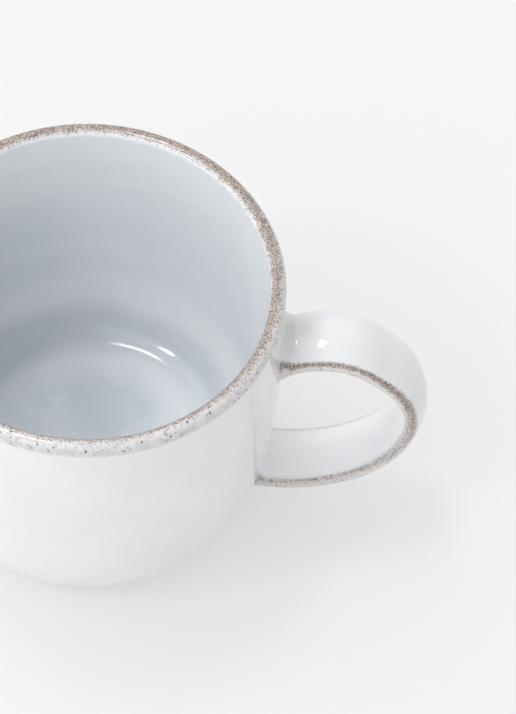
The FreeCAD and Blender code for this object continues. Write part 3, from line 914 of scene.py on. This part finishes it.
def soft_panel(name, azimuth, elevation, lie, size, brightness):
    """A studio panel that faces the cup from a direction, with its length lying along an azimuth.

    The angles are in degrees, and the brightness is what the panel shows to the eye.
    """
    lamp = bpy.data.lights.new(name, "AREA")
    lamp.shape = "RECTANGLE"
    lamp.size, lamp.size_y = size
    lamp.energy = brightness * math.pi * size[0] * size[1]
    panel = bpy.data.objects.new(name, lamp)
    azimuth, elevation, lie = math.radians(azimuth), math.radians(elevation), math.radians(lie)
    away = Vector((math.cos(azimuth) * math.cos(elevation), math.sin(azimuth) * math.cos(elevation),
                   math.sin(elevation)))
    panel.location = PANEL_DISTANCE * away
    breadth = Vector((math.cos(lie), math.sin(lie), 0)).cross(away).normalized()
    length = away.cross(breadth)
    panel.rotation_mode = "QUATERNION"
    panel.rotation_quaternion = Matrix((breadth, length, away)).transposed().to_quaternion()
    bpy.context.scene.collection.objects.link(panel)


# Brightness of the room: at the horizon, how it rises halfway up, falls overhead and leans to the left
ROOM_HORIZON = 0.815
ROOM_HALFWAY_RISE = 0.44
ROOM_OVERHEAD_FALL = 0.35
ROOM_LEFT_LEAN = 1.35


def light_room():
    """Pale room light, dimmer overhead and stronger from the upper left, and two panels.

    The glaze mirrors the panels.
    """
    world = bpy.data.worlds.new("pale room")
    world.use_nodes = True
    tree = world.node_tree
    looking = tree.nodes.new("ShaderNodeTexCoord").outputs["Generated"]
    parts = node_in(tree, "ShaderNodeSeparateXYZ", {0: looking}).outputs

    def math_node(operation, *values):
        return node_in(tree, "ShaderNodeMath", enumerate(values), operation=operation).outputs[0]

    height = math_node("MAXIMUM", parts["Z"], 0.0)
    square = math_node("POWER", height, 2.0)
    halfway = math_node("MULTIPLY", square, math_node("SUBTRACT", 1.0, square))
    fall = math_node("MULTIPLY", math_node("POWER", height, 6.0), -ROOM_OVERHEAD_FALL)
    lean = math_node("MULTIPLY", math_node("MULTIPLY", parts["X"], height), -ROOM_LEFT_LEAN)
    rise = math_node("MULTIPLY_ADD", halfway, 4 * ROOM_HALFWAY_RISE, ROOM_HORIZON)
    strength = math_node("ADD", math_node("ADD", fall, lean), rise)
    tree.nodes["Background"].inputs["Color"].default_value = (1, 1, 1, 1)
    tree.links.new(strength, tree.nodes["Background"].inputs["Strength"])
    bpy.context.scene.world = world
    soft_panel("overhead panel", azimuth=134.0, elevation=76.6, lie=72.0, size=(0.17, 0.27), brightness=13.0)
    soft_panel("front panel", azimuth=-150.0, elevation=52.0, lie=30.0, size=(0.12, 0.16), brightness=21.0)


# Camera: the photograph's frame, and where the view's middle meets the rim's plane
PHOTO_HEIGHT = 714
SENSOR = 36.0
FOCAL_PIXELS = 4349.0
CAMERA_REACH = 700.0 * MM
CAMERA_ELEVATION = math.radians(56.38)
CAMERA_ROLL = math.radians(-3.17)
CAMERA_SWING = math.radians(1.24)
CAMERA_TARGET = (28.4 * MM, -12.9 * MM, CUP_HEIGHT)


def set_camera():
    """Look down at the cup from the front, rolled and swung as the photograph is."""
    lens = bpy.data.cameras.new("camera")
    lens.sensor_width = SENSOR
    lens.lens = FOCAL_PIXELS * SENSOR / PHOTO_HEIGHT
    lens.clip_start, lens.clip_end = 0.05, 20.0
    camera = bpy.data.objects.new("camera", lens)
    bpy.context.scene.collection.objects.link(camera)
    swing = Matrix.Rotation(CAMERA_SWING, 3, "Z")
    right = swing @ Vector((1, 0, 0))
    up = swing @ Vector((0, math.sin(CAMERA_ELEVATION), math.cos(CAMERA_ELEVATION)))
    back = swing @ Vector((0, -math.cos(CAMERA_ELEVATION), math.sin(CAMERA_ELEVATION)))
    rolled_right = math.cos(CAMERA_ROLL) * right - math.sin(CAMERA_ROLL) * up
    rolled_up = math.sin(CAMERA_ROLL) * right + math.cos(CAMERA_ROLL) * up
    camera.rotation_mode = "QUATERNION"
    camera.rotation_quaternion = Matrix((rolled_right, rolled_up, back)).transposed().to_quaternion()
    camera.location = swing @ Vector(CAMERA_TARGET) + CAMERA_REACH * back
    bpy.context.scene.camera = camera


stoneware_cup(fired_glaze())
lay_floor()
light_room()
set_camera()
bpy.context.scene.view_settings.view_transform = "Standard"
